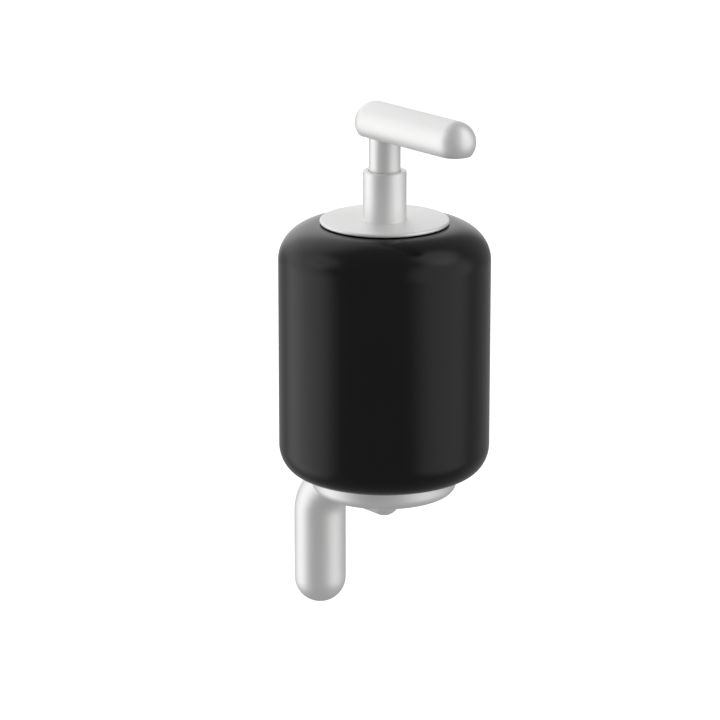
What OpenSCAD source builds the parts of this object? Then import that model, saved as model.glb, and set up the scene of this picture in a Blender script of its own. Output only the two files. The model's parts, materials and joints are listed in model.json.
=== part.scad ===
// Wall-mounted soap dispenser with a press pump.
// Origin: on the wall plane, at the centre of the wall plate. +Z is up, the front faces -Y.

/* [Container] */
// Outer diameter of the container
container_d = 85; // [80:1:90]
// Height of the container above its foot
container_h = 102.9; // [98:0.1:112]
// Thickness of the ceramic wall
container_wall = 4; // [3:0.5:5]
// Inward reach of the rounded top edge
top_edge_w = 16.9; // [14:0.1:18]
// Height of the rounded top edge
top_edge_h = 14.7; // [10:0.1:18]
// Inward reach of the rounded bottom edge
base_edge_w = 9.9; // [9:0.1:14]
// Height of the rounded bottom edge
base_edge_h = 11.7; // [10:0.1:15]
// Radius of the hole in the container's top
mouth_r = 16.5; // [16:0.1:17]

/* [Bracket] */
// Distance from the wall to the dispenser's axis
axis_to_wall = 49; // [48:0.5:52]
// Radius of the upright drop against the wall
drop_r = 10.7; // [10:0.1:11]
// Distance from the wall to the drop's own axis
drop_to_wall = 7.6; // [7:0.1:8]
// Height of the centre of the drop's round lower end
drop_low_z = -16.2; // [-20:0.1:-15.5]
// Radius of the arm under the dish
arm_r = 6.5; // [6:0.1:7]
// Height of the arm's axis
arm_z = 27.8; // [26:0.1:30]
// Radius of the elbow's centre line
elbow_r = 15.5; // [14:0.1:17]

/* [Wall plate] */
// Width of the wall plate
plate_w = 10; // [9:0.5:11]
// Height of the wall plate
plate_h = 30; // [28:1:30]
// Thickness of the wall plate
plate_t = 4.5; // [4:0.5:5]
// Distance between the two wall screws
wall_hole_pitch = 18; // [16:1:20]
// Radius of the wall screw holes
wall_hole_r = 2.1; // [1.8:0.1:2.3]

/* [Dish] */
// Outer radius of the dish
dish_r = 29.3; // [28:0.1:30]
// Height of the dish's underside
dish_z = 32.1; // [31.5:0.1:33]
// Radius of the rounded lower edge
dish_edge = 4; // [2:0.1:4.5]

/* [Cover and collar] */
// Radius of the cover plate
cover_r = 25.9; // [24:0.1:28]
// Thickness of the cover plate
cover_t = 1.45; // [1:0.05:1.5]
// Outer radius of the collar
collar_r = 8.7; // [8.5:0.1:9]
// Height of the collar above the cover plate
collar_h = 19.8; // [17:0.1:22]

/* [Pump] */
// Outer radius of the plunger sleeve
sleeve_r = 6.3; // [6.2:0.05:6.4]
// Travel of the pump from up to fully pressed
stroke = 12; // [8:0.5:12]
// Outer radius of the pump housing
housing_r = 7; // [6.8:0.1:7.2]
// Radius of the pump housing's bore
housing_bore = 6; // [5.8:0.05:6.1]
// Radius of the hollow stem
stem_r = 3.6; // [3.4:0.1:3.8]
// Running clearance on the radius of every sliding fit
slip = 0.05; // [0.02:0.01:0.08]

/* [Spout] */
// Radius of the spout's round back
spout_r = 8.4; // [8:0.1:9]
// Height of the spout's flat underside above the collar
spout_gap = 13.5; // [13:0.1:16]
// Depth of the flat underside below the spout's axis
spout_flat = 5.2; // [4.5:0.1:5.5]
// Reach of the centre of the spout's round tip
spout_reach = 42; // [36:0.5:46]
// Distance of the centre of the spout's round rear behind the axis
spout_rear = 5.5; // [5:0.1:7]

/* [Hidden] */
axis_y = -axis_to_wall;
tiny = 0.01;

// Bracket and wall plate
drop_y = -drop_to_wall;
elbow_y = drop_y - elbow_r;
elbow_z = arm_z - elbow_r;
elbow_steps = 12;
elbow_sides = 36;
elbow_bite = 0.8;
pocket_gap = 0.1;
hook_rise = 0.8;
drop_on = 1.2;
grub_r = 1.5;
grub_y = -plate_t / 2;
grub_len = 7;

// Dish and pad
pad_t = 1;
recess_r = 24.5;
base_z = 40.6;
foot_h = 2.5;
foot_r = recess_r - 0.5;
foot_z = base_z - foot_h;
pad_z = foot_z - pad_t;
pad_r = recess_r - 0.1;
rim_z = base_z - 0.3;
rim_edge = 0.4;
dish_screw_r = 1.5;
dish_screw_head_r = 2.8;
dish_screw_y = [axis_y + 2, axis_y + 15];
dish_screw_len = 10;

// Container
container_r = container_d / 2;
top_z = base_z + container_h;
base_flat = container_r - base_edge_w;
top_flat = container_r - top_edge_w;
floor_t = 5;
inner_r = container_r - container_wall;
edge_steps = 14;

// Neck insert, closure and cover
insert_flange_t = 0.25;
insert_flange_r = 21;
insert_upper_bore = 14.2;
insert_lower_bore = 12.8;
insert_ledge_z = top_z - 5.5;
insert_low_z = top_z - 12;
cover_z = top_z + insert_flange_t;
cover_top = cover_z + cover_t;
collar_top = cover_top + collar_h;
thread_r = 8;
thread_low_z = cover_z - 3.5;
closure_r = 14;
closure_low_r = 12.5;
closure_low_z = top_z - 14;
gasket_t = 1;
closure_step_z = insert_ledge_z + gasket_t;

// Collar and its bush
bush_r = 7.2;
collar_lip_t = 1;
collar_lip_r = 6.5;
collar_edge = 0.4;
collar_foot = 0.2;
bush_low_z = thread_low_z + 5;

// Pump housing
flange_z = closure_low_z + 6.5;
flange_t = 1.5;
guide_skirt_r = 4.8;
guide_clear = 0.2;
wiper_z = flange_z - 5;
wiper_t = 2;
housing_low_z = 86;
seat_low_z = 82;
nipple_low_z = 74;
nipple_r = 4.2;
inlet_r = 1.8;
ball_r = 2.8;
seat_clear = 0.03;
dip_tube_r = 3;
dip_tube_bore = 2;
dip_tube_grip = 5;
dip_tube_low_z = base_z + floor_t + 4;

// Spout
spout_low_z = collar_top + spout_gap;
spout_z = spout_low_z + spout_flat;
sleeve_socket = 2;
sleeve_low_z = spout_low_z - 25.5;
sleeve_bore = 5;
channel_r = 2.6;
liner_bore = 1.6;
nozzle_y = axis_y - spout_reach;
nozzle_r = 4;
nozzle_bore = 1.6;
nozzle_drop = 0.6;

// Stem and piston
piston_top = 121;
piston_h = 9;
piston_low = piston_top - piston_h;
piston_r = housing_bore - 0.3;
seal_r = housing_bore - 1.2;
seal_z = piston_low + 2;
seal_t = 3;
stem_low_z = piston_low + 2;
stem_top_z = spout_z;
stem_bore = 2;
outlet_seat_z = spout_low_z - 5;
outlet_r = 0.7;
outlet_ball_r = 1.7;

// Ball cage and spring
cage_lid = 0.8;
cage_slot_len = 8.4;
cage_slot_w = 1.5;
spring_low_z = 92.5;
spring_wire_r = 0.5;
spring_coil_r = 4.7;
spring_turns = 6;
spring_steps = 18;
spring_sides = 6;

// A ring or tube standing on z, around the dispenser's axis
module tube(r, bore, z0, z1) {
  difference() {
    at_axis(z0) cylinder(r = r, h = z1 - z0, $fn = 72);
    at_axis(z0 - 1) cylinder(r = bore, h = z1 - z0 + 2, $fn = 72);
  }
}

module at_axis(z) {
  translate([0, axis_y, z]) children();
}

// Points of a quarter ellipse about a centre, from angle a0 to a1
function arc_points(centre, a, b, a0, a1, steps) =
  [for (i = [0:steps]) let (t = a0 + (a1 - a0) * i / steps) centre + [a * cos(t), b * sin(t)]];

// Points of a ring of the given radius, used by the swept shapes
function ring(p, side, up, r, sides) =
  [for (i = [0:sides - 1]) p + r * (cos(360 * i / sides) * side + sin(360 * i / sides) * up)];

// Closed faces over rings of equal size
function sweep_faces(rings, sides) = concat(
  [[for (i = [0:sides - 1]) sides - 1 - i]],
  [for (k = [0:rings - 2]) for (i = [0:sides - 1])
    [k * sides + i, k * sides + (i + 1) % sides, (k + 1) * sides + (i + 1) % sides, (k + 1) * sides + i]],
  [[for (i = [0:sides - 1]) (rings - 1) * sides + i]]
);

// Profile of the wall plate seen from the side: its top edge leans so that the bracket hooks over it
module plate_profile(grow, depth, below) {
  polygon([
    [0, -plate_h / 2 - below],
    [0, plate_h / 2 + grow],
    [-depth, plate_h / 2 + grow + hook_rise],
    [-depth, -plate_h / 2 - below]
  ]);
}

module plate_block(w, grow, depth, below) {
  translate([-w / 2, 0, 0])
    rotate([90, 0, 90])
      linear_extrude(height = w)
        plate_profile(grow, depth, below);
}

module wall_plate() {
  color("silver")
    difference() {
      plate_block(plate_w, 0, plate_t, 0);
      for (s = [-1, 1])
        translate([0, 1, s * wall_hole_pitch / 2])
          rotate([90, 0, 0]) {
            cylinder(r = wall_hole_r, h = plate_t + 2, $fn = 48);
            translate([0, 0, 1 + plate_t - 2])
              cylinder(r1 = wall_hole_r, r2 = wall_hole_r + 2.05, h = 2.05, $fn = 48);
          }
    }
}

// Elbow that swells from the arm to the drop, as rings along a quarter circle
module elbow() {
  rings = [
    for (k = [-1:elbow_steps + 1])
      let (
        t = 90 * min(max(k, 0), elbow_steps) / elbow_steps,
        r = drop_r + (arm_r - drop_r) * pow(t / 90, 2),
        p = [0, elbow_y + elbow_r * cos(t), elbow_z + elbow_r * sin(t)],
        along = [0, -sin(t), cos(t)],
        push = k < 0 ? -elbow_bite : k > elbow_steps ? elbow_bite : 0
      )
      ring(p + push * along, [-1, 0, 0], [0, cos(t), sin(t)], r - tiny, elbow_sides)
  ];
  polyhedron(
    points = [for (r = rings) for (p = r) p],
    faces = sweep_faces(elbow_steps + 3, elbow_sides),
    convexity = 4
  );
}

module bracket_arm() {
  color("gainsboro")
    difference() {
      union() {
        translate([0, drop_y, drop_low_z]) sphere(r = drop_r, $fn = 96);
        translate([0, drop_y, drop_low_z]) cylinder(r = drop_r, h = elbow_z - drop_low_z, $fn = 96);
        elbow();
        translate([0, elbow_y, arm_z])
          rotate([90, 0, 0]) cylinder(r = arm_r, h = elbow_y - axis_y, $fn = 72);
        translate([0, axis_y, arm_z]) sphere(r = arm_r, $fn = 72);
      }
      translate([-20, 0, -40]) cube([40, 20, 90]);
      translate([-20, -80, dish_z]) cube([40, 100, 20]);
      plate_block(plate_w + 2 * pocket_gap, pocket_gap, plate_t + pocket_gap, drop_on);
      translate([0, grub_y, drop_low_z - 12]) cylinder(r = grub_r, h = 20, $fn = 36);
      for (y = dish_screw_y)
        translate([0, y, dish_z - dish_screw_len + 2.5]) cylinder(r = dish_screw_r, h = 20, $fn = 36);
    }
}

// Cup point screw that pulls the bracket down on the leaning edge of the wall plate
module bracket_grub_screw() {
  color("dimgray")
    translate([0, grub_y, -plate_h / 2 - grub_len])
      difference() {
        cylinder(r = grub_r, h = grub_len, $fn = 36);
        translate([0, 0, -1]) cylinder(r = 0.9, h = 3, $fn = 6);
      }
}

// Dish with a shallow recess for the pad and for the container's foot
module holder_dish() {
  color("gainsboro")
    difference() {
      at_axis(0)
        rotate_extrude($fn = 120)
          polygon(concat(
            [[0, dish_z]],
            arc_points([dish_r - dish_edge, dish_z + dish_edge], dish_edge, dish_edge, -90, 0, 6),
            [[dish_r, rim_z - rim_edge], [dish_r - rim_edge, rim_z], [recess_r, rim_z]],
            [[recess_r, pad_z], [0, pad_z]]
          ));
      for (y = dish_screw_y) {
        translate([0, y, dish_z - 1]) cylinder(r = dish_screw_r, h = 10, $fn = 36);
        translate([0, y, pad_z - 1.5])
          cylinder(r1 = dish_screw_r, r2 = dish_screw_head_r + 0.15, h = 1.5 + tiny, $fn = 36);
      }
    }
}

module dish_screws() {
  color("silver")
    for (y = dish_screw_y)
      translate([0, y, 0])
        difference() {
          union() {
            translate([0, 0, pad_z - dish_screw_len]) cylinder(r = dish_screw_r, h = dish_screw_len - 1.4, $fn = 36);
            translate([0, 0, pad_z - 1.5])
              cylinder(r1 = dish_screw_r, r2 = dish_screw_head_r, h = 1.4, $fn = 36);
          }
          translate([0, 0, pad_z - 1.3]) cylinder(r = 1, h = 3, $fn = 6);
        }
}

module dish_pad() {
  color("darkslategray")
    at_axis(pad_z) cylinder(r = pad_r, h = pad_t, $fn = 96);
}

// Outline of the container's wall: the outside, or the inside when set in by the wall
module container_outline(inset, floor_z, roof_z) {
  polygon(concat(
    [[-5, floor_z]],
    arc_points([base_flat, base_z + base_edge_h], base_edge_w - inset, base_z + base_edge_h - floor_z,
      -90, 0, edge_steps),
    arc_points([top_flat, top_z - top_edge_h], top_edge_w - inset, roof_z - top_z + top_edge_h,
      0, 90, edge_steps),
    [[-5, roof_z]]
  ));
}

module container() {
  color([0.09, 0.09, 0.1])
    at_axis(0)
      rotate_extrude($fn = 144)
        intersection() {
          difference() {
            union() {
              container_outline(0, base_z, top_z);
              translate([-5, foot_z]) square([foot_r + 5, foot_h + 1]);
            }
            container_outline(container_wall, base_z + floor_t, top_z - container_wall);
            translate([-10, top_z - container_wall - 1]) square([mouth_r + 10, 20]);
          }
          square([container_d, 2 * container_h]);
        }
}

module neck_insert() {
  color("dimgray")
    at_axis(0)
      rotate_extrude($fn = 96)
        polygon([
          [insert_lower_bore, insert_low_z],
          [mouth_r, insert_low_z],
          [mouth_r, top_z],
          [insert_flange_r, top_z],
          [insert_flange_r, cover_z],
          [insert_upper_bore, cover_z],
          [insert_upper_bore, insert_ledge_z],
          [insert_lower_bore, insert_ledge_z]
        ]);
}

module cover_plate() {
  color("gainsboro")
    at_axis(0)
      rotate_extrude($fn = 144)
        polygon(concat(
          [[thread_r, cover_z]],
          arc_points([cover_r - cover_t / 2, cover_z + cover_t / 2], cover_t / 2, cover_t / 2, -90, 90, 8),
          [[thread_r, cover_top]]
        ));
}

module collar() {
  color("gainsboro")
    at_axis(0)
      rotate_extrude($fn = 96)
        polygon(concat(
          [
            [bush_r, thread_low_z],
            [thread_r, thread_low_z],
            [thread_r, cover_top],
            [collar_r + collar_foot, cover_top],
            [collar_r + collar_foot, cover_top + collar_foot],
            [collar_r, cover_top + 2 * collar_foot]
          ],
          arc_points([collar_r - collar_edge, collar_top - collar_edge], collar_edge, collar_edge, 0, 90, 4),
          [
            [collar_lip_r, collar_top],
            [collar_lip_r, collar_top - collar_lip_t],
            [bush_r, collar_top - collar_lip_t]
          ]
        ));
}

module collar_bush() {
  color("white") tube(bush_r, sleeve_r + slip, bush_low_z, collar_top - collar_lip_t);
}

module closure() {
  color("white")
    at_axis(0)
      rotate_extrude($fn = 96)
        polygon([
          [housing_r + slip, closure_low_z],
          [closure_low_r, closure_low_z],
          [closure_low_r, closure_step_z],
          [closure_r, closure_step_z],
          [closure_r, cover_z],
          [thread_r, cover_z],
          [thread_r, flange_z],
          [housing_r + slip, flange_z]
        ]);
}

module closure_gasket() {
  color("dimgray") tube(closure_r - 0.1, closure_low_r, insert_ledge_z, closure_step_z);
}

module pump_housing() {
  color("white")
    at_axis(0)
      rotate_extrude($fn = 96)
        polygon([
          [dip_tube_r, nipple_low_z],
          [nipple_r, nipple_low_z],
          [nipple_r, seat_low_z],
          [housing_r, housing_low_z],
          [housing_r, flange_z],
          [thread_r - 0.1, flange_z],
          [thread_r - 0.1, flange_z + flange_t],
          [housing_bore, flange_z + flange_t],
          [housing_bore, housing_low_z + 1],
          [inlet_r + 2, housing_low_z + 1],
          [inlet_r, housing_low_z - 1],
          [inlet_r, nipple_low_z + dip_tube_grip],
          [dip_tube_r, nipple_low_z + dip_tube_grip]
        ]);
}

// Cap that closes the housing and guides the stem; the collar's thread presses it down.
// Its skirt stops the piston at the top of the travel.
module stem_guide() {
  color("gainsboro")
    at_axis(0)
      rotate_extrude($fn = 96)
        polygon([
          [guide_skirt_r, piston_top + guide_clear],
          [housing_bore, piston_top + guide_clear],
          [housing_bore, flange_z + flange_t],
          [thread_r - 0.1, flange_z + flange_t],
          [thread_r - 0.1, thread_low_z],
          [stem_r + slip, thread_low_z],
          [stem_r + slip, wiper_z + wiper_t],
          [guide_skirt_r, wiper_z + wiper_t]
        ]);
}

// Lip ring that wipes the stem clean inside the guide
module guide_wiper() {
  color("dimgray") tube(guide_skirt_r, stem_r + slip, wiper_z, wiper_z + wiper_t);
}

module dip_tube() {
  color("whitesmoke") tube(dip_tube_r, dip_tube_bore, dip_tube_low_z, nipple_low_z + dip_tube_grip);
}

// Slotted cage over the inlet ball; the spring stands on it
module spring_seat() {
  color("white")
    difference() {
      tube(housing_bore, inlet_r, housing_low_z + 1, spring_low_z);
      at_axis(housing_low_z) cylinder(r = ball_r + 0.4, h = spring_low_z - cage_lid - housing_low_z, $fn = 48);
      for (a = [0, 90])
        at_axis(housing_low_z + 3)
          rotate([0, 0, a]) translate([-cage_slot_len / 2, -cage_slot_w / 2, 0])
            cube([cage_slot_len, cage_slot_w, spring_low_z]);
    }
}

module return_spring() {
  span = piston_low - spring_low_z - 2 * spring_wire_r - 0.1;
  count = spring_turns * spring_steps;
  rings = [
    for (k = [0:count])
      let (
        t = 360 * k / spring_steps,
        out = [cos(t), sin(t), 0],
        p = [0, axis_y, spring_low_z + spring_wire_r + 0.05 + span * k / count]
      )
      ring(p + spring_coil_r * out, out, [0, 0, 1], spring_wire_r, spring_sides)
  ];
  color("silver")
    polyhedron(
      points = [for (r = rings) for (p = r) p],
      faces = sweep_faces(count + 1, spring_sides),
      convexity = 12
    );
}

// Height of a ball of radius r over the small end, of radius seat_r, of its 45 degree seat
function ball_rest(seat_r, r) = r * sqrt(2) - seat_r;

module inlet_ball() {
  color("silver")
    at_axis(housing_low_z - 1 + ball_rest(inlet_r, ball_r) + seat_clear) sphere(r = ball_r, $fn = 48);
}

module piston() {
  color("white")
    at_axis(0)
      rotate_extrude($fn = 96)
        polygon([
          [stem_bore, piston_low],
          [piston_r, piston_low],
          [piston_r, seal_z],
          [seal_r, seal_z],
          [seal_r, seal_z + seal_t],
          [piston_r, seal_z + seal_t],
          [piston_r, piston_top],
          [stem_r + slip, piston_top],
          [stem_r + slip, stem_low_z],
          [stem_bore, stem_low_z]
        ]);
}

module piston_seal() {
  color("dimgray") tube(housing_bore - slip, seal_r, seal_z, seal_z + seal_t);
}

module stem() {
  color("white") tube(stem_r, stem_bore, stem_low_z, stem_top_z - channel_r);
}

// Small cone seat pressed into the top of the stem, under the outlet ball
module outlet_seat() {
  color("gainsboro")
    at_axis(0)
      rotate_extrude($fn = 48)
        polygon([
          [outlet_r, outlet_seat_z - 2],
          [stem_bore, outlet_seat_z - 2],
          [stem_bore, outlet_seat_z + 1],
          [outlet_r + 1, outlet_seat_z + 1],
          [outlet_r, outlet_seat_z]
        ]);
}

module outlet_ball() {
  color("silver")
    at_axis(outlet_seat_z + ball_rest(outlet_r, outlet_ball_r) + seat_clear)
      sphere(r = outlet_ball_r, $fn = 36);
}

module plunger_sleeve() {
  color("gainsboro") tube(sleeve_r, sleeve_bore, sleeve_low_z, spout_low_z + sleeve_socket);
}

// A rod with two round ends along Y, from y0 forward to y1
module capsule(r, y0, y1) {
  translate([0, y0, spout_z])
    rotate([90, 0, 0])
      rotate_extrude($fn = 96)
        intersection() {
          union() {
            square([r, y0 - y1]);
            circle(r = r, $fn = 96);
            translate([0, y0 - y1]) circle(r = r, $fn = 96);
          }
          translate([0, -2 * r]) square([2 * r, y0 - y1 + 4 * r]);
        }
}

module spout() {
  color("gainsboro")
    difference() {
      capsule(spout_r, axis_y + spout_rear, nozzle_y);
      translate([-20, nozzle_y - 20, spout_low_z - 20]) cube([40, 90, 20]);
      at_axis(spout_low_z - 1) cylinder(r = sleeve_r, h = 1 + sleeve_socket, $fn = 72);
      at_axis(spout_low_z) cylinder(r = stem_r, h = spout_flat, $fn = 48);
      translate([0, axis_y + channel_r + 1, spout_z])
        rotate([90, 0, 0]) cylinder(r = channel_r, h = channel_r + 1 + spout_reach, $fn = 48);
      translate([0, nozzle_y, spout_low_z - 1]) cylinder(r = nozzle_r, h = 1 + 2, $fn = 48);
      translate([0, nozzle_y, spout_low_z]) cylinder(r = channel_r, h = spout_flat, $fn = 48);
    }
}

// Plastic tube that lines the channel from the stem to the nozzle
module spout_liner() {
  color("white")
    difference() {
      translate([0, axis_y + channel_r + 1, spout_z])
        rotate([90, 0, 0]) cylinder(r = channel_r, h = channel_r + 1 + spout_reach - channel_r - 0.4, $fn = 48);
      translate([0, axis_y + channel_r, spout_z])
        rotate([90, 0, 0]) cylinder(r = liner_bore, h = 2 * channel_r + spout_reach, $fn = 48);
      at_axis(spout_z - 2 * channel_r) cylinder(r = liner_bore, h = 2 * channel_r, $fn = 48);
    }
}

module nozzle() {
  color("dimgray")
    translate([0, nozzle_y, 0])
      difference() {
        union() {
          translate([0, 0, spout_low_z - nozzle_drop]) cylinder(r = nozzle_r - 0.6, h = nozzle_drop + 1, $fn = 48);
          translate([0, 0, spout_low_z + 0.4]) cylinder(r = nozzle_r, h = 1.6, $fn = 48);
          translate([0, 0, spout_low_z + 1]) cylinder(r = channel_r, h = spout_flat - 1 - channel_r, $fn = 48);
        }
        translate([0, 0, spout_low_z - 2]) cylinder(r = nozzle_bore, h = 10, $fn = 48);
      }
}

wall_plate();
bracket_arm();
bracket_grub_screw();
holder_dish();
dish_screws();
dish_pad();
container();
neck_insert();
cover_plate();
collar();
collar_bush();
closure();
closure_gasket();
pump_housing();
stem_guide();
guide_wiper();
dip_tube();
spring_seat();
return_spring();
inlet_ball();
piston();
piston_seal();
stem();
outlet_seat();
outlet_ball();
plunger_sleeve();
spout();
spout_liner();
nozzle();
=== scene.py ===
"""The looks of a wall-mounted soap dispenser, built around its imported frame.

Units are metres. +Z is up, the wall is the plane y = 0 and the front faces -Y.
"""

import json
import math

import bpy
import bmesh
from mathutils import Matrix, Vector


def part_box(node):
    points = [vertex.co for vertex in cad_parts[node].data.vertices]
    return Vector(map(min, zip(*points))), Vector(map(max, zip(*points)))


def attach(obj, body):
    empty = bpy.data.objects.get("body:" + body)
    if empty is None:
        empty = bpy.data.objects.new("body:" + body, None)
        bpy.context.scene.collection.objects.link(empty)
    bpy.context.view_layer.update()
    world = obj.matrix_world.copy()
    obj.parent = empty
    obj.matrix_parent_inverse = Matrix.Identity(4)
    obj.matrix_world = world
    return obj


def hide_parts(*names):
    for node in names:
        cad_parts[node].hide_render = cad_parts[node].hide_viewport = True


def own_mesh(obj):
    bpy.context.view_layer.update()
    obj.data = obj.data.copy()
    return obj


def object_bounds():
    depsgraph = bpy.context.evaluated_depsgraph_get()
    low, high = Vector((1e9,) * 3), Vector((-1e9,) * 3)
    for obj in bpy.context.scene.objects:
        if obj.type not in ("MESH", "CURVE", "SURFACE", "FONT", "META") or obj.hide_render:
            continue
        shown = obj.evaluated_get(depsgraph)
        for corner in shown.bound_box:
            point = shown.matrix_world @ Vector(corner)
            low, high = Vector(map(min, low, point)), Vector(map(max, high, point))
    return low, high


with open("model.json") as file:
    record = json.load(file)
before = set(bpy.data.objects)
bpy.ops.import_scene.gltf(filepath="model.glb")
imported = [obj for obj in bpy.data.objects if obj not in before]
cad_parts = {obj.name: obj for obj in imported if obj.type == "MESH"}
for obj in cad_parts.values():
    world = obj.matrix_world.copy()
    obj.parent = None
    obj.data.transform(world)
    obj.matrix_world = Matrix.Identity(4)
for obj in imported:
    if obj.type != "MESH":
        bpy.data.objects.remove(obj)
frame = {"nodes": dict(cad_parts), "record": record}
cad_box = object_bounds()

MM = 0.001
nodes = frame["nodes"]

# ---------------------------------------------------------------- places, read from the frame

container_lo, container_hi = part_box("container")
dish_lo, dish_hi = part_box("holder_dish")
cover_lo, cover_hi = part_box("cover_plate")
collar_lo, collar_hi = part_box("collar")
sleeve_lo, sleeve_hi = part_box("plunger_sleeve")
spout_lo, spout_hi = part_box("spout")
wall_plate_lo, wall_plate_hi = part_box("wall_plate")
bracket_low_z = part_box("bracket_arm")[0].z
pad_low_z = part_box("dish_pad")[0].z


def centre_y(node):
    lo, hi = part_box(node)
    return ((lo + hi) / 2).y


def half_width(node):
    lo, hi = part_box(node)
    return (hi.x - lo.x) / 2


axis_y = centre_y("collar")

# ---------------------------------------------------------------- camera


def add_camera():
    """A long lens to the front left of the dispenser and a little above it."""
    azimuth = math.radians(-39.6)
    elevation = math.radians(16.14)
    distance = 1.5
    target = Vector((0, axis_y, 90 * MM))
    aim_left = 9.79 * MM
    aim_down = 3.15 * MM
    back = Vector((
        math.sin(azimuth) * math.cos(elevation),
        -math.cos(azimuth) * math.cos(elevation),
        math.sin(elevation),
    ))
    right = Vector((math.cos(azimuth), math.sin(azimuth), 0))
    up = back.cross(right)
    camera = bpy.data.objects.new("camera", bpy.data.cameras.new("camera"))
    camera.data.lens = 186.75
    camera.data.sensor_width = 36
    camera.data.clip_end = 20
    camera.location = target + back * distance - right * aim_left - up * aim_down
    camera.rotation_mode = "QUATERNION"
    camera.rotation_quaternion = (-back).to_track_quat("-Z", "Y")
    bpy.context.scene.collection.objects.link(camera)
    bpy.context.scene.camera = camera


add_camera()

# ---------------------------------------------------------------- node helpers


def new_material(name):
    """A material with its Principled shader; returns it with its node tree and the shader."""
    material = bpy.data.materials.new(name)
    material.use_nodes = True
    tree = material.node_tree
    return material, tree, tree.nodes["Principled BSDF"]


def add_node(tree, kind, **inputs):
    node = tree.nodes.new(kind)
    for key, value in inputs.items():
        node.inputs[key].default_value = value
    return node


def noise(tree, scale, detail=3):
    """Noise in the object's own coordinates; the scale is in cells per metre."""
    place = tree.nodes.new("ShaderNodeTexCoord")
    texture = add_node(tree, "ShaderNodeTexNoise", Scale=scale, Detail=detail)
    tree.links.new(place.outputs["Object"], texture.inputs["Vector"])
    return texture.outputs["Fac"]


def map_range(tree, value, from_min, from_max, to_min, to_max, interpolation="LINEAR"):
    node = tree.nodes.new("ShaderNodeMapRange")
    node.interpolation_type = interpolation
    node.inputs["From Min"].default_value = from_min
    node.inputs["From Max"].default_value = from_max
    node.inputs["To Min"].default_value = to_min
    node.inputs["To Max"].default_value = to_max
    tree.links.new(value, node.inputs["Value"])
    return node.outputs["Result"]


def remap(tree, value, low, high):
    """Spreads noise, which stays mostly between 0.3 and 0.7, from low to high."""
    return map_range(tree, value, 0.3, 0.7, low, high)


def mix_colour(tree, factor, dark, light):
    """A colour between dark and light, by a noise value."""
    node = tree.nodes.new("ShaderNodeMix")
    node.data_type = "RGBA"
    node.inputs["A"].default_value = (*dark, 1)
    node.inputs["B"].default_value = (*light, 1)
    tree.links.new(remap(tree, factor, 0, 1), node.inputs["Factor"])
    return node.outputs["Result"]


def add_bump(tree, shader, heights, strength, distance):
    """Bump from a list of height fields, stacked one on the other."""
    normal = None
    for height in heights:
        node = tree.nodes.new("ShaderNodeBump")
        node.inputs["Strength"].default_value = strength
        node.inputs["Distance"].default_value = distance
        tree.links.new(height, node.inputs["Height"])
        if normal is not None:
            tree.links.new(normal, node.inputs["Normal"])
        normal = node.outputs["Normal"]
    tree.links.new(normal, shader.inputs["Normal"])


# ---------------------------------------------------------------- materials


def satin_metal():
    """Fine bead-blasted steel with a pearly finish, which scatters much of the light."""
    material, tree, shader = new_material("satin_metal")
    cloud = noise(tree, 60, 2)
    shader.inputs["Metallic"].default_value = 0.75
    tint = mix_colour(tree, cloud, (0.85, 0.85, 0.845), (0.88, 0.88, 0.875))
    tree.links.new(tint, shader.inputs["Base Color"])
    tree.links.new(remap(tree, cloud, 0.47, 0.52), shader.inputs["Roughness"])
    add_bump(tree, shader, [noise(tree, 5200, 2)], 0.08, 0.04 * MM)
    return material


def plain_metal(name, dark, light, rough):
    """Bare machined steel of hidden fasteners and springs."""
    material, tree, shader = new_material(name)
    cloud = noise(tree, 240, 3)
    shader.inputs["Metallic"].default_value = 1
    tree.links.new(mix_colour(tree, cloud, dark, light), shader.inputs["Base Color"])
    tree.links.new(remap(tree, cloud, rough, rough + 0.1), shader.inputs["Roughness"])
    add_bump(tree, shader, [noise(tree, 2600, 2)], 0.1, 0.03 * MM)
    return material


def black_ceramic():
    """Black silk glaze: almost even, with a faint cloud and a very fine skin."""
    material, tree, shader = new_material("black_ceramic")
    cloud = noise(tree, 34, 3)
    skin = noise(tree, 900, 2)
    pores = noise(tree, 4200, 2)
    colour = mix_colour(tree, cloud, (0.003, 0.003, 0.0032), (0.0045, 0.0045, 0.0048))
    tree.links.new(colour, shader.inputs["Base Color"])
    tree.links.new(remap(tree, skin, 0.19, 0.22), shader.inputs["Roughness"])
    shader.inputs["IOR"].default_value = 1.34
    add_bump(tree, shader, [skin, pores], 0.12, 0.03 * MM)
    return material


def plastic(name, dark, light, rough):
    """Moulded plastic with a slight cloud and a fine spark-eroded grain."""
    material, tree, shader = new_material(name)
    cloud = noise(tree, 180, 3)
    tree.links.new(mix_colour(tree, cloud, dark, light), shader.inputs["Base Color"])
    tree.links.new(remap(tree, cloud, rough, rough + 0.08), shader.inputs["Roughness"])
    add_bump(tree, shader, [noise(tree, 3200, 2)], 0.15, 0.04 * MM)
    return material


def milky_tube():
    """Milky tubing that lets some light through."""
    material, tree, shader = new_material("milky_tube")
    cloud = noise(tree, 120, 2)
    colour = mix_colour(tree, cloud, (0.74, 0.77, 0.77), (0.8, 0.83, 0.83))
    tree.links.new(colour, shader.inputs["Base Color"])
    tree.links.new(remap(tree, cloud, 0.2, 0.3), shader.inputs["Roughness"])
    shader.inputs["Transmission Weight"].default_value = 0.35
    return material


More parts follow.
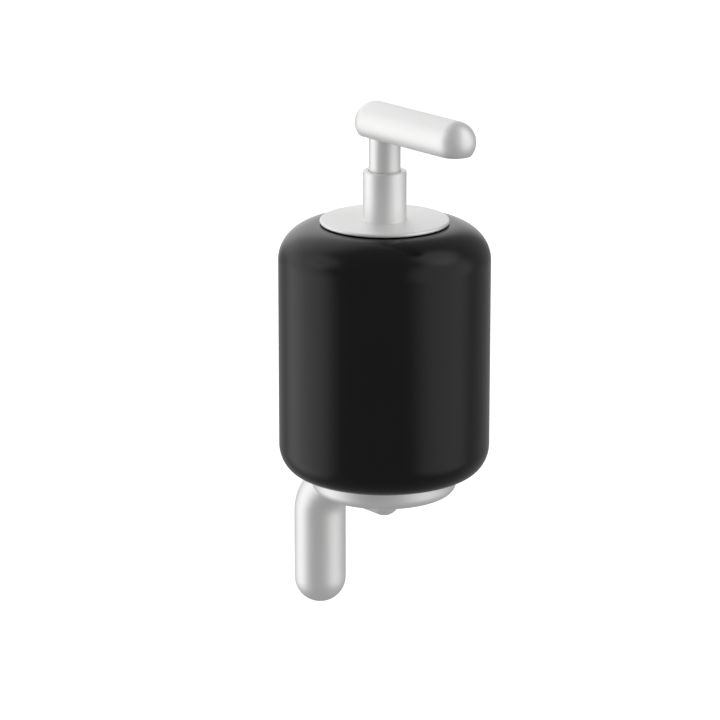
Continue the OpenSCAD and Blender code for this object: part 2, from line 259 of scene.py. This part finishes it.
materials = {
    "satin_metal": satin_metal(),
    "plain_steel": plain_metal("plain_steel", (0.5, 0.5, 0.5), (0.6, 0.6, 0.59), 0.3),
    "spring_steel": plain_metal("spring_steel", (0.62, 0.62, 0.63), (0.7, 0.7, 0.7), 0.14),
    "black_ceramic": black_ceramic(),
    "white_plastic": plastic("white_plastic", (0.74, 0.74, 0.72), (0.8, 0.8, 0.78), 0.36),
    # black_plastic also colours the neck insert; its dark tone is painted shade in the gap under the
    # cover plate
    "black_plastic": plastic("black_plastic", (0.018, 0.018, 0.018), (0.026, 0.026, 0.026), 0.42),
    "grey_plastic": plastic("grey_plastic", (0.24, 0.24, 0.24), (0.29, 0.29, 0.29), 0.4),
    "black_rubber": plastic("black_rubber", (0.02, 0.02, 0.02), (0.03, 0.03, 0.03), 0.62),
    "clear_tube": milky_tube(),
}

# ---------------------------------------------------------------- mesh helpers


def smooth_object(name, verts, faces, crease_deg=32):
    """A mesh object with smooth shading except across edges sharper than crease_deg."""
    mesh = bpy.data.meshes.new(name)
    mesh.from_pydata(verts, [], faces)
    obj = bpy.data.objects.new(name, mesh)
    bpy.context.scene.collection.objects.link(obj)
    tidy(obj, crease_deg)
    return obj


def tidy(obj, crease_deg=32):
    """Merges doubled points, points the normals outward and marks the sharp edges."""
    work = bmesh.new()
    work.from_mesh(obj.data)
    bmesh.ops.remove_doubles(work, verts=work.verts, dist=0.002 * MM)
    bmesh.ops.recalc_face_normals(work, faces=work.faces)
    for face in work.faces:
        face.smooth = True
    for edge in work.edges:
        edge.smooth = len(edge.link_faces) == 2 and edge.calc_face_angle(0) < math.radians(crease_deg)
    work.to_mesh(obj.data)
    work.free()


def set_material(obj, slot):
    obj.data.materials.clear()
    obj.data.materials.append(materials[slot])


replaced = set()


def finish_piece(obj, body, slot, node):
    """Makes a mesh stand for a CAD node: its material, its body, and the node that it hides."""
    set_material(obj, slot)
    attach(obj, body)
    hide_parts(node)
    replaced.add(node)


def arc(centre, radii, start, end, steps):
    """Points of an elliptical arc, both ends included; angles in degrees."""
    points = []
    for i in range(steps + 1):
        t = math.radians(start + (end - start) * i / steps)
        points.append((centre[0] + radii[0] * math.cos(t), centre[1] + radii[1] * math.sin(t)))
    return points


def circle(centre, radius, steps):
    """Points of a closed circle."""
    return arc(centre, (radius, radius), 0, 360, steps)[:-1]


def rounded(corners, steps=5):
    """A closed outline from (r, z, fillet) corners, each rounded by its own fillet radius."""
    out = []
    count = len(corners)
    for i, (x, z, fillet) in enumerate(corners):
        here = Vector((x, z))
        if fillet <= 0:
            out.append((x, z))
            continue
        to_last = Vector(corners[i - 1][:2]) - here
        to_next = Vector(corners[(i + 1) % count][:2]) - here
        a, b = to_last.normalized(), to_next.normalized()
        half = a.angle(b) / 2
        reach = min(fillet / math.tan(half), 0.49 * to_last.length, 0.49 * to_next.length)
        radius = reach * math.tan(half)
        centre = here + (a + b).normalized() * (radius / math.sin(half))
        first, last = here + a * reach - centre, here + b * reach - centre
        turn = first.angle_signed(last)
        for k in range(steps + 1):
            t = -turn * k / steps
            c, s = math.cos(t), math.sin(t)
            out.append((centre.x + first.x * c - first.y * s, centre.y + first.x * s + first.y * c))
    return out


ON_AXIS = 1e-7  # a radius under this is on the axis


def lathe(name, outline, segments):
    """Turns a closed outline of (radius, z) points about the dispenser's axis."""
    verts, faces = [], []
    count = len(outline)
    for i in range(segments):
        t = 2 * math.pi * i / segments
        for r, z in outline:
            verts.append((r * math.sin(t), axis_y - r * math.cos(t), z))
    for i in range(segments):
        here, there = i * count, (i + 1) % segments * count
        for k in range(count):
            n = (k + 1) % count
            if max(outline[k][0], outline[n][0]) > ON_AXIS:
                faces.append((here + k, here + n, there + n, there + k))
    return smooth_object(name, verts, faces)


def d_section(radius, flat, fillet, arc_steps=72, fillet_steps=6, flat_steps=8):
    """Outline of a rod of the given radius with one flat side, below its centre by flat.

    The flat's two edges are rounded by fillet. Where the radius is under flat it is a full circle
    with as many points, so that sections join up along a rod.
    """
    f = min(fillet, 0.5 * flat)
    reach = max((radius - f) ** 2 - (flat - f) ** 2, 0) ** 0.5 if radius > flat else 0
    start = math.atan2(-(flat - f), reach) if radius > flat else -math.pi / 2
    points = []
    for i in range(arc_steps + 1):
        t = start + (math.pi - 2 * start) * i / arc_steps
        points.append((radius * math.cos(t), radius * math.sin(t)))
    if radius > flat:
        corner = math.pi / 2 + start
        for i in range(1, fillet_steps + 1):
            t = math.pi - start + corner * i / fillet_steps
            points.append((-reach + f * math.cos(t), -(flat - f) + f * math.sin(t)))
        for i in range(1, flat_steps):
            points.append((-reach + 2 * reach * i / flat_steps, -flat))
        for i in range(fillet_steps):
            t = -math.pi / 2 + corner * i / fillet_steps
            points.append((reach + f * math.cos(t), -(flat - f) + f * math.sin(t)))
    else:
        points += [(0, -radius)] * (2 * fillet_steps + flat_steps - 1)
    return points


POLE_R = 0.001 * MM  # a rod's round end closes on a ring this small


def loft(name, sections, crease_deg=32):
    """Joins rings of equal size into one closed skin; the two end rings are capped."""
    verts = [p for ring in sections for p in ring]
    size = len(sections[0])
    faces = [tuple(range(size))]
    for k in range(len(sections) - 1):
        for i in range(size):
            n = (i + 1) % size
            faces.append((k * size + i, k * size + n, (k + 1) * size + n, (k + 1) * size + i))
    faces.append(tuple((len(sections) - 1) * size + i for i in range(size)))
    return smooth_object(name, verts, faces, crease_deg)


def cut(obj, cutters):
    """Takes the cutters out of obj and removes them."""
    for cutter in cutters:
        modifier = obj.modifiers.new("cut", "BOOLEAN")
        modifier.operation = "DIFFERENCE"
        modifier.solver = "MANIFOLD"
        modifier.object = cutter
    graph = bpy.context.evaluated_depsgraph_get()
    mesh = bpy.data.meshes.new_from_object(obj.evaluated_get(graph))
    obj.modifiers.clear()
    obj.data = mesh
    for cutter in cutters:
        bpy.data.objects.remove(cutter)
    tidy(obj)


def rod(name, y, radius, low, high, segments=48):
    """An upright cylinder at x = 0, for cutting holes."""
    return prism(name, circle((0, y), radius, segments), lambda x, y, h: (x, y, h), low, high)


def prism(name, outline, place, low, high):
    """A prism over an outline; place turns (u, v, height) into a point."""
    count = len(outline)
    verts = [place(u, v, low) for u, v in outline] + [place(u, v, high) for u, v in outline]
    faces = [tuple(range(count)), tuple(range(count, 2 * count))]
    faces += [(i, (i + 1) % count, count + (i + 1) % count, count + i) for i in range(count)]
    return smooth_object(name, verts, faces)


# ---------------------------------------------------------------- container

container_r = half_width("container")
base_edge = (9.9 * MM, 11.7 * MM)
top_edge = (16.9 * MM, 14.7 * MM)
container_wall = 4 * MM
container_floor = 5 * MM
mouth_r = 16.5 * MM
foot_h = 2.5 * MM
foot_gap = 0.4 * MM


def make_container():
    """The glazed shell, with a foot that drops into the dish and a soft lip at the mouth."""
    low, high = container_lo.z + foot_h, container_hi.z
    steps = 40
    foot_r = half_width("dish_pad") - foot_gap
    foot = rounded([
        (0, container_lo.z, 0),
        (foot_r, container_lo.z, 0.6 * MM),
        (foot_r, low, 0.3 * MM),
        (foot_r + 1 * MM, low, 0),
    ])
    outside = arc((container_r - base_edge[0], low + base_edge[1]), base_edge, -90, 0, steps)
    outside += arc((container_r - top_edge[0], high - top_edge[1]), top_edge, 0, 90, steps)
    lip = 0.8 * MM
    rim = arc((mouth_r + lip, high - lip), (lip, lip), 90, 180, 6)
    rim += arc((mouth_r + lip, high - container_wall + lip), (lip, lip), 180, 270, 6)
    in_top = (top_edge[0] - container_wall, top_edge[1] - container_wall)
    in_base = (base_edge[0] - container_wall, base_edge[1] - container_floor)
    inside = arc((container_r - top_edge[0], high - top_edge[1]), in_top, 90, 0, steps)
    inside += arc((container_r - base_edge[0], low + base_edge[1]), in_base, 0, -90, steps)
    outline = foot + outside + rim + inside + [(0, low + container_floor)]
    finish_piece(lathe("ceramic_container", outline, 224), "container", "black_ceramic", "container")


make_container()

# ---------------------------------------------------------------- holder dish


def make_dish():
    """A turned dish with a recess for the pad and the container's foot."""
    dish_r = half_width("holder_dish")
    recess_r = half_width("dish_pad") + 0.1 * MM
    outline = rounded([
        (0, dish_lo.z, 0),
        (dish_r, dish_lo.z, 4 * MM),
        (dish_r, dish_hi.z, 0.5 * MM),
        (recess_r, dish_hi.z, 0.3 * MM),
        (recess_r, pad_low_z, 0.2 * MM),
        (0, pad_low_z, 0),
    ], 12)
    finish_piece(lathe("holder_dish_turned", outline, 192), "bracket", "satin_metal", "holder_dish")


make_dish()

# ---------------------------------------------------------------- cover plate and collar

thread_r = 8 * MM
sleeve_r = half_width("plunger_sleeve")


def make_cover_plate():
    """A flat disc whose upper edge is rounded more than its lower one."""
    cover_r = half_width("cover_plate")
    outline = rounded([
        (thread_r, cover_lo.z, 0),
        (cover_r, cover_lo.z, 0.45 * MM),
        (cover_r, cover_hi.z, 0.7 * MM),
        (thread_r, cover_hi.z, 0),
    ], 8)
    finish_piece(lathe("cover_plate_turned", outline, 192), "pump", "satin_metal", "cover_plate")


def make_collar():
    """The upright tube with a fine foot ring on the plate and a lip round the plunger."""
    foot = 0.2 * MM
    lip = 1 * MM
    lip_r = sleeve_r + 0.2 * MM
    bush_r = half_width("collar_bush")
    collar_r = half_width("collar") - foot
    outline = rounded([
        (bush_r, collar_lo.z, 0),
        (thread_r, collar_lo.z, 0.3 * MM),
        (thread_r, cover_hi.z, 0),
        (collar_r + foot, cover_hi.z, 0),
        (collar_r + foot, cover_hi.z + 1.5 * foot, 0.7 * foot),
        (collar_r, cover_hi.z + 2.5 * foot, 0.6 * foot),
        (collar_r, collar_hi.z, 0.4 * MM),
        (lip_r, collar_hi.z, 0.2 * MM),
        (lip_r, collar_hi.z - lip, 0),
        (bush_r, collar_hi.z - lip, 0),
    ])
    finish_piece(lathe("collar_turned", outline, 128), "pump", "satin_metal", "collar")


def make_plunger_sleeve():
    """The tube between the collar and the spout, which it enters."""
    bore = sleeve_r - 1.3 * MM
    outline = rounded([
        (bore, sleeve_lo.z, 0.2 * MM),
        (sleeve_r, sleeve_lo.z, 0.4 * MM),
        (sleeve_r, sleeve_hi.z, 0),
        (bore, sleeve_hi.z, 0),
    ])
    finish_piece(lathe("plunger_sleeve_turned", outline, 128), "head", "satin_metal", "plunger_sleeve")


make_cover_plate()
make_collar()
make_plunger_sleeve()

# ---------------------------------------------------------------- spout

spout_r = half_width("spout")
spout_z = spout_hi.z - spout_r
spout_flat = spout_z - spout_lo.z
spout_front = spout_lo.y + spout_r
spout_back = spout_hi.y - spout_r


def make_spout():
    """A rod with round ends and a flat underside, with its socket, channel and outlet cut in."""
    end_steps = 26
    stations = []
    for i in range(end_steps + 1):
        t = math.pi / 2 * i / end_steps
        stations.append((spout_back + spout_r * math.cos(t), spout_r * math.sin(t)))
    for i in range(end_steps, -1, -1):
        t = math.pi / 2 * i / end_steps
        stations.append((spout_front - spout_r * math.cos(t), spout_r * math.sin(t)))
    sections = [
        [(u, y, spout_z + v) for u, v in d_section(max(r, POLE_R), spout_flat, 0.5 * MM)]
        for y, r in stations
    ]
    body = loft("spout_shell", sections)
    stem_r = half_width("stem")
    channel_r = half_width("spout_liner")
    channel_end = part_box("spout_liner")[1].y
    nozzle_r = half_width("nozzle")
    nozzle_y = centre_y("nozzle")
    below = spout_lo.z - 2 * MM
    nudge = 0.013 * MM  # keeps the cutters' faces and points off each other
    channel = prism(
        "channel_cut", circle((0, spout_z), channel_r, 48),
        lambda x, z, y: (x, y, z), nozzle_y - nudge, channel_end,
    )
    cut(body, [
        rod("socket_cut", axis_y, sleeve_r, below, sleeve_hi.z, 96),
        rod("stem_cut", axis_y, stem_r, below, spout_z + nudge, 64),
        channel,
        rod("outlet_cut", nozzle_y, nozzle_r, below, spout_lo.z + 2 * MM, 64),
        rod("drop_cut", nozzle_y, channel_r + nudge, below, spout_z + 3 * nudge, 50),
    ])
    finish_piece(body, "head", "satin_metal", "spout")


make_spout()

# ---------------------------------------------------------------- bracket

drop_r = half_width("bracket_arm")
arm_r = 6.5 * MM
drop_y = -7.6 * MM
drop_low = bracket_low_z + drop_r
arm_z = 27.8 * MM
elbow_r = 15.5 * MM
elbow_y = drop_y - elbow_r
elbow_z = arm_z - elbow_r


def bracket_stations():
    """(centre, direction out of the bend, radius, distance of the flat) along the bracket.

    The drop's flat lies on the wall, and the arm's flat is the seat under the dish.
    """
    out = []
    end_steps = 24
    back = Vector((0, 1, 0))
    up = Vector((0, 0, 1))
    for i in range(end_steps):
        t = math.pi / 2 * i / end_steps
        centre = Vector((0, drop_y, drop_low - drop_r * math.cos(t)))
        out.append((centre, back, max(drop_r * math.sin(t), POLE_R), -drop_y))
    straight_steps = 12
    for i in range(straight_steps):
        z = drop_low + (elbow_z - drop_low) * i / straight_steps
        out.append((Vector((0, drop_y, z)), back, drop_r, -drop_y))
    elbow_steps = 48
    for i in range(elbow_steps + 1):
        t = math.pi / 2 * i / elbow_steps
        outward = back * math.cos(t) + up * math.sin(t)
        centre = Vector((0, elbow_y, elbow_z)) + outward * elbow_r
        ease = (i / elbow_steps) ** 2
        radius = drop_r + (arm_r - drop_r) * ease
        to_wall = -centre.y / max(math.cos(t), 1e-3)
        to_seat = (dish_lo.z - centre.z) / max(math.sin(t), 1e-3)
        out.append((centre, outward, radius, min(to_wall, to_seat)))
    arm_steps = 16
    for i in range(1, arm_steps + 1):
        y = elbow_y + (axis_y - elbow_y) * i / arm_steps
        out.append((Vector((0, y, arm_z)), up, arm_r, dish_lo.z - arm_z))
    for i in range(1, end_steps + 1):
        t = math.pi / 2 * i / end_steps
        centre = Vector((0, axis_y - arm_r * math.sin(t), arm_z))
        out.append((centre, up, max(arm_r * math.cos(t), POLE_R), dish_lo.z - arm_z))
    return out


def make_bracket():
    """One casting with a pocket for the wall plate, its hook, and the grub screw's hole."""
    sections = []
    for centre, outward, radius, flat in bracket_stations():
        ring = d_section(radius, flat, 0.5 * MM, arc_steps=84)
        sections.append([tuple(centre + Vector((u, 0, 0)) - outward * v) for u, v in ring])
    body = loft("bracket_casting", sections)
    gap = 0.1 * MM
    half_w = half_width("wall_plate") + gap
    depth = -wall_plate_lo.y + gap
    top = wall_plate_hi.z + gap
    hook = 0.8 * MM
    bottom = wall_plate_lo.z - 1.2 * MM
    beyond = 1 * MM
    side = [(beyond, bottom), (beyond, top - hook), (0, top - hook), (-depth, top), (-depth, bottom)]
    pocket = prism("pocket_cut", side, lambda y, z, x: (x, y, z), -half_w, half_w)
    grub_r = half_width("bracket_grub_screw")
    grub_y = centre_y("bracket_grub_screw")
    grub_hole = rod("grub_cut", grub_y, grub_r, bracket_low_z - 5 * MM, wall_plate_lo.z)
    cut(body, [pocket, grub_hole])
    finish_piece(body, "bracket", "satin_metal", "bracket_arm")


make_bracket()

# ---------------------------------------------------------------- return spring


def make_return_spring():
    """A coil of round wire with closed ends."""
    low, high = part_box("return_spring")
    wire_r = 0.5 * MM
    coil_r = half_width("return_spring") - wire_r
    turns, steps, sides = 6, 36, 12
    closed_pitch = 2.1 * wire_r
    span = high.z - low.z - 2 * wire_r
    open_pitch = (span - 2 * closed_pitch) / (turns - 2)
    sections = []
    for k in range(turns * steps + 1):
        turn = k / steps
        rise = closed_pitch * min(turn, 1) + open_pitch * min(max(turn - 1, 0), turns - 2)
        rise += closed_pitch * max(turn - turns + 1, 0)
        t = 2 * math.pi * turn
        outward = Vector((math.cos(t), math.sin(t), 0))
        centre = Vector((0, axis_y, low.z + wire_r + rise)) + outward * coil_r
        ring = circle((0, 0), wire_r, sides)
        sections.append([tuple(centre + outward * u + Vector((0, 0, v))) for u, v in ring])
    coil = loft("return_spring_coil", sections, 60)
    finish_piece(coil, "pump", "spring_steel", "return_spring")
    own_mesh(coil)


make_return_spring()

# ---------------------------------------------------------------- pieces kept as the frame has them

slot_of = {part["node"]: part["material_slot"] for part in frame["record"]["subparts"]}
for name, node in nodes.items():
    if name not in replaced:
        set_material(node, slot_of[name])

# ---------------------------------------------------------------- studio


def towards(tree, azimuth, elevation):
    """The cosine of the angle between a ray and one direction."""
    a, e = math.radians(azimuth), math.radians(elevation)
    place = tree.nodes.new("ShaderNodeTexCoord")
    dot = tree.nodes.new("ShaderNodeVectorMath")
    dot.operation = "DOT_PRODUCT"
    dot.inputs[1].default_value = (math.sin(a) * math.cos(e), -math.cos(a) * math.cos(e), math.sin(e))
    tree.links.new(place.outputs["Generated"], dot.inputs[0])
    return dot.outputs["Value"]


def soft_box(tree, azimuth, elevation, radius, softness, strength):
    """A round soft box: even inside its radius, fading over the softness; all angles in degrees."""
    outer = math.cos(math.radians(radius + softness))
    inner = math.cos(math.radians(radius - softness))
    dot = towards(tree, azimuth, elevation)
    return map_range(tree, dot, outer, inner, 0, strength, "SMOOTHSTEP")


def make_studio():
    """Even white surroundings: soft boxes left and right, darker towards the camera."""
    world = bpy.data.worlds.new("studio")
    world.use_nodes = True
    bpy.context.scene.world = world
    tree = world.node_tree
    ambient = 0.36
    total = None
    for azimuth, elevation, radius, softness, strength in (
        (-133, -9, 27, 18, 1.17),
        (-124, 34, 13, 11, 1.0),
        (-177, 34, 22, 18, 0.9),
        (28, 8, 36, 12, 0.83),
        (48, 50, 14, 12, 1.1),
        (145, 12, 17, 14, 0.85),
    ):
        add = tree.nodes.new("ShaderNodeMath")
        add.operation = "ADD"
        add.inputs[0].default_value = ambient
        if total is not None:
            tree.links.new(total, add.inputs[0])
        tree.links.new(soft_box(tree, azimuth, elevation, radius, softness, strength), add.inputs[1])
        total = add.outputs["Value"]
    light = tree.nodes["Background"]
    tree.links.new(total, light.inputs["Strength"])
    light.inputs["Color"].default_value = (1, 1, 1, 1)
    backdrop = add_node(tree, "ShaderNodeBackground", Color=(1, 1, 1, 1), Strength=1)
    path = tree.nodes.new("ShaderNodeLightPath")
    mix = tree.nodes.new("ShaderNodeMixShader")
    tree.links.new(path.outputs["Is Camera Ray"], mix.inputs["Fac"])
    tree.links.new(light.outputs["Background"], mix.inputs[1])
    tree.links.new(backdrop.outputs["Background"], mix.inputs[2])
    tree.links.new(mix.outputs["Shader"], tree.nodes["World Output"].inputs["Surface"])


def make_floor():
    """A wide pale floor well below the dispenser, which hangs on a wall."""
    size = 6
    height = cad_box[0].z - 0.12
    verts = [(-size, -size, height), (size, -size, height), (size, size, height), (-size, size, height)]
    floor = smooth_object("floor", verts, [(0, 1, 2, 3)])
    material, tree, shader = new_material("pale_floor")
    shader.inputs["Base Color"].default_value = (0.92, 0.92, 0.92, 1)
    shader.inputs["Roughness"].default_value = 0.9
    shader.inputs["Emission Color"].default_value = (1, 1, 1, 1)
    shader.inputs["Emission Strength"].default_value = 0.6
    floor.data.materials.append(material)
    floor.visible_glossy = False
    floor.visible_diffuse = False


make_studio()
make_floor()
bpy.context.scene.view_settings.view_transform = "Standard"
